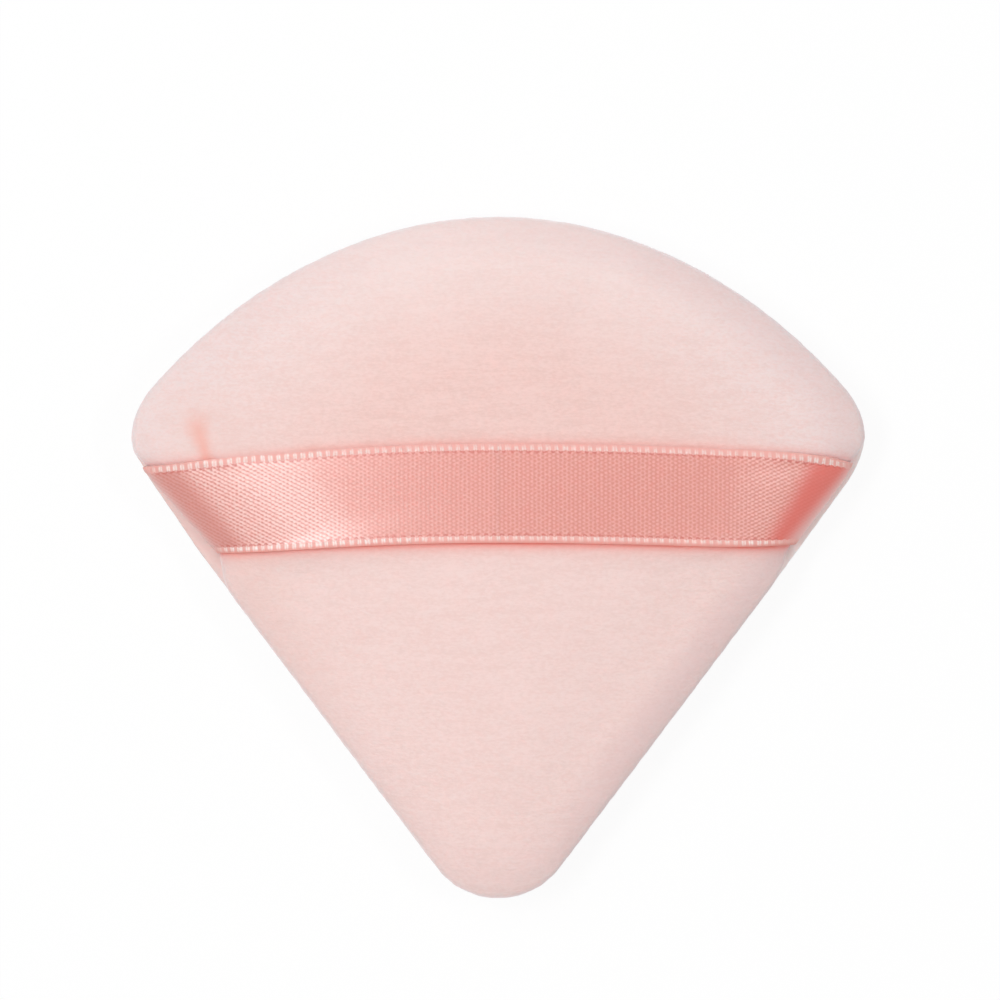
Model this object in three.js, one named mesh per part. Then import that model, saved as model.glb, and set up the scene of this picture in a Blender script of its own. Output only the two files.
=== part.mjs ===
// Powder puff: a fan-shaped velour pad with a satin ribbon sewn across its front as a finger strap.
//
// Millimetres. The puff lies on its rear face: +Z points out of the front, where the ribbon is,
// +Y towards the arched edge and -Y towards the tip. The origin is below the middle of the puff,
// on the surface that it lies on.

import * as THREE from "three";

// Fan outline, seen from the front
const padWidth = 75;
const padLength = 69.6;
const cornerRadius = 7.85;
const shoulderDrop = 22.4; // from the crown of the arch down to the centres of the shoulder corners
const archHalfWidth = 50.6; // half width of the ellipse that the arch follows

// Pad section
const frontRise = 6; // from the seam up to the middle of the front
const rearRise = 6; // from the seam down to the resting flat
const restingCut = 0.5; // how much of the rear crown the resting flat takes off
const crownRise = 2.2; // how far each face rises from where its edge roll ends to its middle
const grooveHalfWidth = 0.8;
const grooveDepth = 0.6;
const rollShare = 0.36; // part of each spoke, from the heart to the edge, that rolls over
const rollPower = 2.2;

// Velour panels
const velourThickness = 1.2;
const allowanceWidth = 3.5;
const allowanceThickness = 0.9;

// Ribbon
const ribbonWidth = 10.3;
const ribbonThickness = 0.3;
const ribbonDrop = 28.5; // from the crown of the arch down to the middle of the ribbon
const ribbonBow = 1.55; // how much lower than its middle the ribbon lies, half a pad's width out
const ribbonTuck = 2.9; // how far each ribbon end reaches into the seam
const frontPinch = 2; // how far the ribbon draws the seam and the front panel's sides in
const rearPinch = 0.4; // and the rear panel's, which it doesn't cross
const pinchDrop = 1.5; // how far below the middle of the ribbon's ends that is deepest
const pinchReach = 11;

// Threads
const threadDiameter = 0.36;
const stitchLength = 2.6;
const stitchInset = 2.5; // from the pad's edge in to the line of stitches
const stitchDip = 0.12;
const ladderHalfHeight = 0.2;
const ladderInset = 0.25; // from the pad's edge in to the middle of the closing thread
const closingShares = [0.25, 0.6]; // the closed gap's ends, along the arch from crown to shoulder
const closingStitches = 8;

const clearance = 0.3;

// Faceting
const tipSteps = 6;
const sideSteps = 14;
const shoulderSteps = 6;
const archSteps = 13;
const ribbonRows = 4;
const threadSides = 4;
const outerShares = [1, 0.992, 0.97, 0.93, 0.87, 0.78, 0.65, 0.4];
const innerShares = [1, 0.96, 0.88, 0.75, 0.45];
const foamShares = [1, 0.9, 0.7, 0.4];
const rollAngleShares = [0.1, 0.25, 0.4, 0.55, 0.7, 0.85, 1];
const spanShares = [0.75, 0.5, 0.25, 0];

// Outline of the fan: a tip circle and two shoulder circles of one radius, joined by straight
// sides below and by an arch above that lies one radius outside an ellipse
const crownY = padLength / 2;
const tipCentre = new THREE.Vector2(0, cornerRadius - padLength / 2);
const shoulderCentre = new THREE.Vector2(padWidth / 2 - cornerRadius, crownY - shoulderDrop);
const sideRun = shoulderCentre.clone().sub(tipCentre);
const sideAngle = Math.atan2(sideRun.x, sideRun.y);
const archEnd = Math.acos(shoulderCentre.x / archHalfWidth);
const archHalfHeight = (shoulderDrop - cornerRadius) / (1 - Math.sin(archEnd));
const archCentreY = crownY - cornerRadius - archHalfHeight;

function unitAt(angle) {
  return new THREE.Vector2(Math.cos(angle), Math.sin(angle));
}

function archNormal(angle) {
  const along = unitAt(angle);
  return new THREE.Vector2(along.x * archHalfHeight, along.y * archHalfWidth).normalize();
}

// A point of the outline: its place and the direction that faces out of the fan there
function edgePoint(core, normal) {
  return { place: core.clone().addScaledVector(normal, cornerRadius), normal };
}

function archPoint(angle) {
  const along = unitAt(angle);
  const core = new THREE.Vector2(archHalfWidth * along.x, archCentreY + archHalfHeight * along.y);
  return edgePoint(core, archNormal(angle));
}

function rightHalf() {
  const points = [];
  const shoulderEnd = archNormal(archEnd).angle();
  for (let i = 0; i <= tipSteps; i++) {
    const angle = THREE.MathUtils.lerp(-Math.PI / 2, -sideAngle, i / tipSteps);
    points.push(edgePoint(tipCentre, unitAt(angle)));
  }
  for (let i = 1; i <= sideSteps; i++) {
    const core = tipCentre.clone().addScaledVector(sideRun, i / sideSteps);
    points.push(edgePoint(core, unitAt(-sideAngle)));
  }
  for (let i = 1; i <= shoulderSteps; i++) {
    const angle = THREE.MathUtils.lerp(-sideAngle, shoulderEnd, i / shoulderSteps);
    points.push(edgePoint(shoulderCentre, unitAt(angle)));
  }
  for (let i = 1; i <= archSteps; i++) {
    points.push(archPoint(THREE.MathUtils.lerp(archEnd, Math.PI / 2, i / archSteps)));
  }
  points[0].place.x = 0;
  points.at(-1).place.x = 0;
  return points;
}

function mirrored(point) {
  return {
    place: new THREE.Vector2(-point.place.x, point.place.y),
    normal: new THREE.Vector2(-point.normal.x, point.normal.y),
  };
}

const half = rightHalf();
const outline = [...half, ...half.slice(1, -1).reverse().map(mirrored)];

function halfWidthAt(y) {
  const above = Math.max(1, half.findIndex((point) => point.place.y >= y));
  const a = half[above - 1].place;
  const b = half[above].place;
  return THREE.MathUtils.mapLinear(y, a.y, b.y, a.x, b.x);
}

// The heart is equally far from the straight sides and from the crown of the arch. The pad's
// rings are the outline, drawn towards it.
const sideApexY = tipCentre.y - cornerRadius / Math.sin(sideAngle);
const slope = Math.sin(sideAngle);
const heart = new THREE.Vector2(0, (crownY + sideApexY * slope) / (1 + slope));
const ribbonY = crownY - ribbonDrop;
const ribbonEndY = ribbonY - ribbonBow * (halfWidthAt(ribbonY) / (padWidth / 2)) ** 2;

// Heights of the seam and of what lies along it
const seamZ = rearRise;
const slotEase = sideRun.length() / sideSteps + clearance;

function pinch(y, depth) {
  const share = Math.min(1, Math.abs(y - ribbonEndY + pinchDrop) / pinchReach);
  return depth * Math.cos((share * Math.PI) / 2) ** 2;
}

// Half of the gap between the two seam allowances: wider where a ribbon end lies between them
function halfGap(y) {
  const past = Math.abs(y - ribbonEndY) - ribbonWidth / 2;
  const closed = THREE.MathUtils.smoothstep(past, slotEase, 2 * slotEase);
  return THREE.MathUtils.lerp(ribbonThickness / 2 + clearance, clearance / 2, closed);
}

// How far out a place is, from 0 at the heart to 1 on the outline drawn in by an inset
function spokeShare(place, inset) {
  const fromHeart = place.clone().sub(heart);
  let share = 0;
  for (let i = 0; i < outline.length; i++) {
    const a = outline[i].place;
    const b = outline[(i + 1) % outline.length].place;
    const normal = new THREE.Vector2(b.y - a.y, a.x - b.x).normalize();
    const reach = normal.dot(a.clone().sub(heart)) - inset;
    share = Math.max(share, normal.dot(fromHeart) / reach);
  }
  return share;
}

// Rise of a padded face over its edge: an edge roll, then a slow crown up to `rise`
function domeRise(share, rise) {
  const roll = THREE.MathUtils.clamp((share - (1 - rollShare)) / rollShare, 0, 1);
  const rolled = (1 - roll ** rollPower) ** (1 / rollPower);
  return (rise - crownRise) * rolled + crownRise * (1 - share ** 2);
}

// The pad's two faces: which way each rises from the seam, how far to its uncut middle, where it
// is cut off, and how far the ribbon pinches its edge in
const front = { side: 1, rise: frontRise, cut: frontRise, pinch: frontPinch };
const rear = { side: -1, rise: rearRise + restingCut, cut: rearRise, pinch: rearPinch };

// The seam is sewn through both panels, so it is drawn in as far as the front
const seam = { pinch: frontPinch };

// One ring of a face. `zAt` gives the height for a point of the outline and the ring's own place.
function padRing(face, share, inset, zAt) {
  return outline.map((point) => {
    const drawnIn = inset + pinch(point.place.y, face.pinch);
    const place = point.place.clone().addScaledVector(point.normal, -drawnIn);
    place.lerp(heart, 1 - share);
    return new THREE.Vector3(place.x, place.y, zAt(point.place.y, place));
  });
}

// A closed skin through rings, from one middle point to another
function ringSolid(first, rings, last) {
  const count = rings[0].length;
  const vertices = [first, ...rings.flat(), last];
  const end = vertices.length - 1;
  const at = (ring, i) => 1 + ring * count + (i % count);
  const index = [];
  for (let i = 0; i < count; i++) {
    index.push(0, at(0, i), at(0, i + 1));
    for (let r = 0; r < rings.length - 1; r++) {
      index.push(at(r, i), at(r + 1, i), at(r + 1, i + 1));
      index.push(at(r, i), at(r + 1, i + 1), at(r, i + 1));
    }
    index.push(at(rings.length - 1, i), end, at(rings.length - 1, i + 1));
  }
  const geometry = new THREE.BufferGeometry().setFromPoints(vertices);
  geometry.setIndex(index);
  return geometry;
}

// Velour panels: a domed skin whose edge turns in at the seam groove as the seam allowance
const allowanceRise = (y) => halfGap(y) + allowanceThickness;
const outerRise = (face, share) => grooveHalfWidth + domeRise(share, face.rise - grooveHalfWidth);
const flatShare = Math.sqrt(restingCut / crownRise);

function innerRise(face, share, y) {
  const base = allowanceRise(y);
  return base + domeRise(share, face.rise - velourThickness - base);
}

function heartAt(face, rise) {
  return new THREE.Vector3(heart.x, heart.y, seamZ + face.side * rise);
}

// Rings from the middle of the outside, round the allowance, to the middle of the inside
function panelRings(face, outside) {
  const at = (rise) => seamZ + face.side * rise;
  const outer = outside.map((share) =>
    padRing(face, share, 0, () => at(Math.min(outerRise(face, share), face.cut))),
  );
  const allowance = [
    padRing(seam, 1, grooveDepth, (y) => at(halfGap(y))),
    padRing(seam, 1, allowanceWidth, (y) => at(halfGap(y))),
    padRing(seam, 1, allowanceWidth, (y) => at(allowanceRise(y))),
  ];
  const inner = innerShares.map((share) =>
    padRing(face, share, velourThickness, (y) => at(innerRise(face, share, y))),
  );
  return [...outer.reverse(), ...allowance, ...inner];
}

function frontPanel() {
  const rings = panelRings(front, outerShares);
  const inside = heartAt(front, front.rise - velourThickness);
  return ringSolid(heartAt(front, front.cut), rings, inside);
}

function rearPanel() {
  const domed = outerShares.filter((share) => share > flatShare);
  const rings = panelRings(rear, [...domed, flatShare]).reverse();
  const inside = heartAt(rear, rear.rise - velourThickness);
  return ringSolid(inside, rings, heartAt(rear, rear.cut));
}

// Foam core: cut to the fan inside the seam allowances, and filling the panels from face to face
const foamInset = allowanceWidth + clearance;

// The front pinches in furthest, so both sides of the foam follow its outline
function foamRings(face) {
  return foamShares.map((share) =>
    padRing(front, share, foamInset, (y, place) => {
      const under = spokeShare(place, velourThickness + front.pinch);
      return seamZ + face.side * (innerRise(face, under, y) - clearance);
    }),
  );
}

function foamCore() {
  const middle = (face) => heartAt(face, face.rise - velourThickness - clearance);
  const rings = [...foamRings(front).reverse(), ...foamRings(rear)];
  return ringSolid(middle(front), rings, middle(rear));
}

// Ribbon. Each line along it follows the pad's front from seam to seam, clear of the velour.

// How far from the middle line the front's ring of a share lies at a height y
function crossing(y, share) {
  const outlineY = heart.y + (y - heart.y) / share;
  return share * (halfWidthAt(outlineY) - pinch(outlineY, front.pinch) / Math.cos(sideAngle));
}

// Unit normal of a line in the XZ plane at one of its points, out of the pad
function lineNormal(line, i) {
  const before = line[Math.max(0, i - 1)];
  const after = line[Math.min(line.length - 1, i + 1)];
  return new THREE.Vector3(after.z - before.z, 0, before.x - after.x).normalize();
}

// Moves a line out by a distance measured square to the pad, whose sides slant in plan
function offsetLine(line, distance) {
  return line.map((point, i) => {
    const normal = lineNormal(line, i);
    const slant = Math.hypot(normal.x / Math.cos(sideAngle), normal.z);
    return point.clone().addScaledVector(normal, distance * slant);
  });
}

// Half a line: from the tucked end, out through the seam groove, over the edge and to mid-span
function ribbonHalfLine(middleY) {
  const standOff = clearance + ribbonThickness / 2;
  const bow = ribbonBow * (halfWidthAt(middleY) / (padWidth / 2)) ** 2;
  const bowedY = (share) => middleY - bow * share ** 2;
  const faceZ = (share) => seamZ + outerRise(front, share);
  const onFace = (share) => {
    const y = bowedY(share);
    return new THREE.Vector3(crossing(y, share), y, faceZ(share));
  };
  const edge = onFace(1);
  const beyond = (distance, rise) =>
    new THREE.Vector3(edge.x + distance / Math.cos(sideAngle), edge.y, seamZ + rise);
  const tucked = [
    beyond(-ribbonTuck, 0),
    beyond(-grooveDepth - clearance, 0),
    beyond(-clearance / 2, 0),
    beyond(standOff / 2, grooveHalfWidth / 4),
    beyond(standOff, (2 * grooveHalfWidth) / 3),
  ];
  const rolled = rollAngleShares.map((angleShare) => {
    const roll = Math.cos((angleShare * Math.PI) / 2) ** (2 / rollPower);
    return onFace(1 - rollShare + rollShare * roll);
  });
  const spanX = rolled.at(-1).x;
  const span = spanShares.map((share) => {
    const x = spanX * share;
    const y = bowedY(x / edge.x);
    return new THREE.Vector3(x, y, faceZ(spokeShare(new THREE.Vector2(x, y), 0)));
  });
  const face = offsetLine([edge, ...rolled, ...span], standOff);
  face.at(-1).x = 0;
  return [...tucked, ...face];
}

function ribbonLine(middleY) {
  const right = ribbonHalfLine(middleY);
  const left = right.slice(0, -1).reverse();
  return [...right, ...left.map((point) => new THREE.Vector3(-point.x, point.y, point.z))];
}

// A closed solid between two grids of points, each a list of rows of equal length
function sheetSolid(upper, lower) {
  const rows = upper.length;
  const columns = upper[0].length;
  const vertices = [...upper.flat(), ...lower.flat()];
  const top = (r, c) => r * columns + c;
  const bottom = (r, c) => rows * columns + top(r, c);
  const index = [];
  const quad = (a, b, c, d) => index.push(a, b, c, a, c, d);
  for (let r = 0; r < rows - 1; r++) {
    for (let c = 0; c < columns - 1; c++) {
      quad(top(r, c), top(r + 1, c), top(r + 1, c + 1), top(r, c + 1));
      quad(bottom(r, c), bottom(r, c + 1), bottom(r + 1, c + 1), bottom(r + 1, c));
    }
    quad(top(r, 0), bottom(r, 0), bottom(r + 1, 0), top(r + 1, 0));
    const c = columns - 1;
    quad(top(r, c), top(r + 1, c), bottom(r + 1, c), bottom(r, c));
  }
  for (let c = 0; c < columns - 1; c++) {
    const r = rows - 1;
    quad(top(0, c), top(0, c + 1), bottom(0, c + 1), bottom(0, c));
    quad(top(r, c), bottom(r, c), bottom(r, c + 1), top(r, c + 1));
  }
  const geometry = new THREE.BufferGeometry().setFromPoints(vertices);
  geometry.setIndex(index);
  return geometry;
}

function ribbonStrap() {
  const upper = [];
  const lower = [];
  for (let i = 0; i <= ribbonRows; i++) {
    const line = ribbonLine(ribbonY + ribbonWidth * (i / ribbonRows - 1 / 2));
    upper.push(offsetLine(line, ribbonThickness / 2));
    lower.push(offsetLine(line, -ribbonThickness / 2));
  }
  return sheetSolid(upper, lower);
}

// Seam threads. Each lies inside the pad along one allowance and dips at every stitch hole.
function alongOutline(shareOfWay, inset) {
  const lengths = outline.map((point, i) =>
    point.place.distanceTo(outline[(i + 1) % outline.length].place),
  );
  let left = shareOfWay * lengths.reduce((sum, length) => sum + length);
  let i = 0;
  while (i < outline.length - 1 && left > lengths[i]) {
    left -= lengths[i];
    i += 1;
  }
  const a = outline[i];
  const b = outline[(i + 1) % outline.length];
  const place = a.place.clone().lerp(b.place, left / lengths[i]);
  const normal = a.normal.clone().lerp(b.normal, left / lengths[i]).normalize();
  return place.addScaledVector(normal, -inset - pinch(place.y, seam.pinch));
}

function seamThread(face) {
  const perimeter = outline.reduce(
    (sum, point, i) => sum + point.place.distanceTo(outline[(i + 1) % outline.length].place),
    0,
  );
  const steps = 2 * Math.round(perimeter / stitchLength);
  const points = [];
  for (let i = 0; i < steps; i++) {
    const place = alongOutline(i / steps, stitchInset);
    const rise = allowanceRise(place.y) + clearance + threadDiameter / 2 + (i % 2) * stitchDip;
    points.push(new THREE.Vector3(place.x, place.y, seamZ + face.side * rise));
  }
  const curve = new THREE.CatmullRomCurve3(points, true);
  return new THREE.TubeGeometry(curve, steps, threadDiameter / 2, threadSides, true);
}

// Closing thread: a ladder stitch in the seam groove of the arch, from wall to wall
function closingThread() {
  const points = [];
  for (let i = 0; i <= closingStitches; i++) {
    const alongArch = THREE.MathUtils.lerp(...closingShares, i / closingStitches);
    const point = archPoint(THREE.MathUtils.lerp(Math.PI / 2, archEnd, alongArch));
    const place = point.place.addScaledVector(point.normal, -ladderInset);
    const z = seamZ + (i % 2 ? ladderHalfHeight : -ladderHalfHeight);
    points.push(new THREE.Vector3(place.x, place.y, z));
  }
  const section = new THREE.Shape();
  section.absarc(0, 0, threadDiameter / 2, 0, 2 * Math.PI);
  return new THREE.ExtrudeGeometry(section, {
    steps: closingStitches * 3,
    curveSegments: threadSides,
    extrudePath: new THREE.CatmullRomCurve3(points),
  });
}

// Assembly
const velour = { color: 0xf1d4cf, roughness: 0.95, metalness: 0 };
const foam = { color: 0xf4efe6, roughness: 0.9, metalness: 0 };
const satin = { color: 0xeaa79d, roughness: 0.45, metalness: 0 };
const thread = { color: 0xf0cfc9, roughness: 0.7, metalness: 0 };

function piece(name, geometry, finish) {
  const mesh = new THREE.Mesh(geometry, new THREE.MeshStandardMaterial(finish));
  mesh.name = name;
  return mesh;
}

const group = new THREE.Group();
group.add(
  piece("front_velour_panel", frontPanel(), velour),
  piece("rear_velour_panel", rearPanel(), velour),
  piece("foam_core", foamCore(), foam),
  piece("ribbon_strap", ribbonStrap(), satin),
  piece("seam_needle_thread", seamThread(front), thread),
  piece("seam_bobbin_thread", seamThread(rear), thread),
  piece("closing_thread", closingThread(), thread),
);

export default group;
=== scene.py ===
"""Powder puff: a fan-shaped velour pad with a satin ribbon sewn across its front as a finger strap.

Metres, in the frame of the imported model: +Z out of the front, +Y towards the arched edge. The puff
lies on its rear face, and the camera looks straight down at its front.
"""

import math

import bmesh
import bpy
import numpy as np
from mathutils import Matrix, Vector, noise
from mathutils.kdtree import KDTree


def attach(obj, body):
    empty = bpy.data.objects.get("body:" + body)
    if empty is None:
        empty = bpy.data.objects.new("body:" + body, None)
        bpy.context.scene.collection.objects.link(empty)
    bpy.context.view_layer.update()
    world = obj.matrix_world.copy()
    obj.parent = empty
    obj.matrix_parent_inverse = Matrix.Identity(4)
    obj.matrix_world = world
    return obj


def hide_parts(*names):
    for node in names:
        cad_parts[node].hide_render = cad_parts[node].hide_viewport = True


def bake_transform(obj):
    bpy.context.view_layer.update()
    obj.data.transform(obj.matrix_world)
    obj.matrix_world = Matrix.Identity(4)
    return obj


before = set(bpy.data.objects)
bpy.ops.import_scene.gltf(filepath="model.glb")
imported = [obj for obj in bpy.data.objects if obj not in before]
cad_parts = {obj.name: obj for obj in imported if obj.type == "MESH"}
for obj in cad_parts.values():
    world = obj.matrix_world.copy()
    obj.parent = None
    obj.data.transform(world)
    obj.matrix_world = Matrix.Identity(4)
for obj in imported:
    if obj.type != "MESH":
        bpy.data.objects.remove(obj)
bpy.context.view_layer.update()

MM = 0.001
TURN = 2 * math.pi

# Fan outline, as the panels are cut
PAD_WIDTH = 75 * MM
PAD_LENGTH = 69.6 * MM
CORNER_RADIUS = 7.85 * MM
SHOULDER_DROP = 22.4 * MM
ARCH_HALF_WIDTH = 50.6 * MM
OUTLINE_STEP = 0.9 * MM

# How far inside its cut outline the sewn arch lies, by shares of its height from the shoulders up
ARCH_EASE_SHARES = (0, 0.1, 0.2, 0.35, 0.6, 0.85, 1)
ARCH_EASE = np.array((0, 0.15, 0.3, 0.24, 0.14, 0.12, 0)) * MM

# Pad section
FRONT_RISE = 6 * MM
REAR_RISE = 6 * MM
RESTING_CUT = 0.5 * MM
CROWN_RISE = 2.2 * MM
GROOVE_HALF_WIDTH = 0.8 * MM
GROOVE_DEPTH = 0.6 * MM
ROLL_SHARE = 0.36
ROLL_POWER = 2.2
SECTION_POINTS = 200

# Velour
VELOUR_THICKNESS = 1.2 * MM
ALLOWANCE_WIDTH = 3.5 * MM
ALLOWANCE_THICKNESS = 0.9 * MM
PUCKER_PITCH = 2.6 * MM
PUCKER_DEPTH = 0.02 * MM
PUCKER_REACH = 2.2 * MM
PILE_CLUMP = 1.1 * MM
PILE_RELIEF = 0.03 * MM
TUFT_SHIFT = Vector((7, 3, 5))
EDGE_HOLD = 4 * MM

# The lip of a turned edge, as shares of the groove's depth and of its half width
LIP_SHARES = [(0.1, 0.75), (0.3, 0.4), (0.6, 0.12), (1, 0)]

# Ribbon
RIBBON_WIDTH = 10.05 * MM
RIBBON_THICKNESS = 0.3 * MM
RIBBON_DROP = 28.22 * MM
RIBBON_TUCK = 2.9 * MM
PRESS_REACH = 2.6 * MM
PILE_LIFT = 0.2 * MM
PILE_LIFT_END = (0.7, 0.88)
SELVEDGE_WIDTH = 0.75 * MM
SELVEDGE_RELIEF = 0.045 * MM
TICK_PITCH = 0.83 * MM
TICK_SHARE = 0.65

# The ribbon's mesh
RIBBON_STEP = 0.14 * MM
ROLL_POINTS = 40
SPAN_POINTS = 60
EASING_PASSES = 30
SELVEDGE_ROWS = 9
SELVEDGE_ROWS_WIDTH = 1.3 * SELVEDGE_WIDTH
FIELD_ROWS = 14
SHARP_CORNER = math.radians(50)

# How much lower than its middle each end of the ribbon lies, at its lower and upper edges: first
# as a slow bow, then what its gathered end adds
RIGHT_BOW = (0.83 * MM, 1.33 * MM)
RIGHT_GATHER = (-0.7 * MM, 0.6 * MM)
LEFT_BOW = (1.43 * MM, 2.75 * MM)
LEFT_GATHER = (-0.4 * MM, -0.4 * MM)
GATHER_POWER = 8

# How far the ribbon's ends draw each panel's edge in, at the ribbon's lower and upper edges
FRONT_RIGHT_PINCH = (1.2 * MM, 1.15 * MM)
FRONT_LEFT_PINCH = (2.0 * MM, 0.9 * MM)
REAR_RIGHT_PINCH = (0.05 * MM, 0.2 * MM)
REAR_LEFT_PINCH = (0, 0.5 * MM)
PINCH_BELOW = 4 * MM
PINCH_ABOVE = 1.6 * MM

# Where the gap between the seam allowances closes, past the ribbon's edges
GAP_REACH = (0.3 * MM, 1.8 * MM)
CLEARANCE = 0.3 * MM
OPEN_HALF_GAP = RIBBON_THICKNESS / 2 + CLEARANCE

# Painted shadow and bounced light of the ribbon, in its salmon colour, on the velour along its lower and
# upper edges: which edge, in shares of its width from its middle, how strong, and how far
RIBBON_SHADOWS = ((-0.5, 0.9, 0.5 * MM), (0.5, 0.3, 0.42 * MM))

# Crease that the ribbon's left end pulls into the velour, from its far end to the ribbon's edge
CREASE_START = Vector((-30.9, 14.4)) * MM
CREASE_END = Vector((-29.5, 9.8)) * MM
CREASE_HALF_WIDTH = 0.85 * MM
CREASE_DEPTH = 0.3 * MM
CREASE_SHALLOWEST = 0.15
CREASE_START_SHARE = 0.25
CREASE_LIP = 0.3
CREASE_LIP_PLACE = 2.2

# Foam
FOAM_SHARES = (0.1, 0.4, 0.7, 0.85, 0.94, 1)
FOAM_SECTION = 0.88

# Closing stitch
THREAD_DIAMETER = 0.36 * MM
LADDER_HALF_HEIGHT = 0.2 * MM
LADDER_INSET = 0.25 * MM
CLOSING_SHARES = (0.25, 0.6)
CLOSING_STITCHES = 8
STITCH_POINTS = 40
PLY_PITCH = 0.9 * MM

# Inflating the pad's skin
SKIN_SHARES = [0.12, 0.3, 0.45, 0.58, 0.68, 0.77, 0.85, 0.91, 0.955, 0.985]
SKIN_STEP = 1.25 * MM
SWELL = 0.9 * MM
SIMULATION_SCALE = 10
SIMULATION_FRAMES = 20
CLOTH_QUALITY = 5
PRESSURE = 4

# Studio
VIEW_WIDTH = 102.2 * MM
VIEW_MIDDLE = (0.18 * MM, 5.88 * MM)
CAMERA_HEIGHT = 600 * MM
SENSOR_WIDTH = 36
ROOM_LIGHT = 0.45
FLOOR_HALF_SIZE = 1.5
FLOOR_DROP = 0.02 * MM
FLOOR_GREY = 0.92
FLOOR_GLOW = 0.92

# Soft lamps: name, place, breadth round the puff, depth towards it, and power
LAMPS = [
    ("key", (-0.30, 0.40, 0.75), 0.45, 0.45, 1.1),
    ("left_strip", (-0.32, 0.06, 0.83), 0.35, 0.15, 3.1),
    ("right_strip", (0.47, 0.02, 0.80), 0.25, 0.06, 1.3),
]


# Lines and shares

def smoothstep(low, high, value):
    share = np.clip((value - low) / (high - low), 0, 1)
    return share * share * (3 - 2 * share)


def wave(turns):
    """1 at every whole turn, 0 half a turn further."""
    return 0.5 + 0.5 * math.cos(TURN * turns)


def unit(vectors):
    return vectors / np.linalg.norm(vectors, axis=-1, keepdims=True)


def runs_along(line):
    """How far along a line each of its points lies."""
    return np.concatenate(([0], np.cumsum(np.linalg.norm(np.diff(line, axis=0), axis=1))))


def resampled(line, count):
    """The line with a count of points at even distances."""
    runs = runs_along(line)
    places = np.linspace(0, runs[-1], count)
    return np.column_stack([np.interp(places, runs, line[:, i]) for i in range(3)])


def eased(line, passes):
    """The line with its corners rounded. Its ends stay."""
    line = line.copy()
    for _ in range(passes):
        line[1:-1] = (line[:-2] + 2 * line[1:-1] + line[2:]) / 4
    return line


# Outline

CROWN_Y = PAD_LENGTH / 2
TIP = np.array((0, CORNER_RADIUS - PAD_LENGTH / 2))
SHOULDER = np.array((PAD_WIDTH / 2 - CORNER_RADIUS, CROWN_Y - SHOULDER_DROP))
SIDE_ANGLE = math.atan2(SHOULDER[0] - TIP[0], SHOULDER[1] - TIP[1])
ARCH_END = math.acos(SHOULDER[0] / ARCH_HALF_WIDTH)
ARCH_HALF_HEIGHT = (SHOULDER_DROP - CORNER_RADIUS) / (1 - math.sin(ARCH_END))
ARCH_CENTRE_Y = CROWN_Y - CORNER_RADIUS - ARCH_HALF_HEIGHT
SIDE_APEX_Y = TIP[1] - CORNER_RADIUS / math.sin(SIDE_ANGLE)
HEART_Y = (CROWN_Y + SIDE_APEX_Y * math.sin(SIDE_ANGLE)) / (1 + math.sin(SIDE_ANGLE))
HEART = np.array((0, HEART_Y))
SEAM_Z = REAR_RISE


def arc(angles):
    return np.column_stack((np.cos(angles), np.sin(angles)))


def arch_core(angles):
    """The ellipse that the arch runs round, one corner radius outside it."""
    return arc(angles) * (ARCH_HALF_WIDTH, ARCH_HALF_HEIGHT) + (0, ARCH_CENTRE_Y)


def arch_normals(angles):
    return unit(arc(angles) * (ARCH_HALF_HEIGHT, ARCH_HALF_WIDTH))


def outline_steps(length):
    return max(2, round(length / OUTLINE_STEP))


def half_outline():
    """The right half from the tip to the crown: places, and the directions out of the fan there."""
    tip_angles = np.linspace(-math.pi / 2, -SIDE_ANGLE, outline_steps(CORNER_RADIUS))
    shares = np.linspace(0, 1, outline_steps(np.linalg.norm(SHOULDER - TIP)))[1:-1]
    shoulder_end = math.atan2(*arch_normals(np.array([ARCH_END]))[0][::-1])
    shoulder_angles = np.linspace(-SIDE_ANGLE, shoulder_end, outline_steps(2 * CORNER_RADIUS))
    arch_angles = np.linspace(ARCH_END, math.pi / 2, outline_steps(SHOULDER[0]))[1:]
    cores = np.vstack((
        np.repeat(TIP[None], len(tip_angles), axis=0),
        TIP + shares[:, None] * (SHOULDER - TIP),
        np.repeat(SHOULDER[None], len(shoulder_angles), axis=0),
        arch_core(arch_angles),
    ))
    normals = np.vstack((
        arc(tip_angles),
        np.repeat(arc(np.array([-SIDE_ANGLE])), len(shares), axis=0),
        arc(shoulder_angles),
        arch_normals(arch_angles),
    ))
    return cores + CORNER_RADIUS * normals, normals


HALF_PLACES, HALF_NORMALS = half_outline()
MIRROR = np.array((-1, 1))
OUTLINE = np.vstack((HALF_PLACES, HALF_PLACES[-2:0:-1] * MIRROR))
OUTLINE_NORMALS = np.vstack((HALF_NORMALS, HALF_NORMALS[-2:0:-1] * MIRROR))
OUTLINE_RUNS = runs_along(OUTLINE)

RIBBON_Y = CROWN_Y - RIBBON_DROP
RIBBON_LOW, RIBBON_HIGH = RIBBON_Y - RIBBON_WIDTH / 2, RIBBON_Y + RIBBON_WIDTH / 2
RIGHT_END = (RIBBON_LOW - RIGHT_BOW[0] - RIGHT_GATHER[0], RIBBON_HIGH - RIGHT_BOW[1] - RIGHT_GATHER[1])
LEFT_END = (RIBBON_LOW - LEFT_BOW[0] - LEFT_GATHER[0], RIBBON_HIGH - LEFT_BOW[1] - LEFT_GATHER[1])


def outline_tree():
    tree = KDTree(len(OUTLINE))
    for i, (x, y) in enumerate(OUTLINE):
        tree.insert((x, y, 0), i)
    tree.balance()
    return tree


NEAR_OUTLINE = outline_tree()


def outline_index(x, y):
    """Which point of the outline is nearest x, y."""
    return NEAR_OUTLINE.find((x, y, 0))[1]


def half_width_at(y):
    return np.interp(y, HALF_PLACES[:, 1], HALF_PLACES[:, 0])


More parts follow.
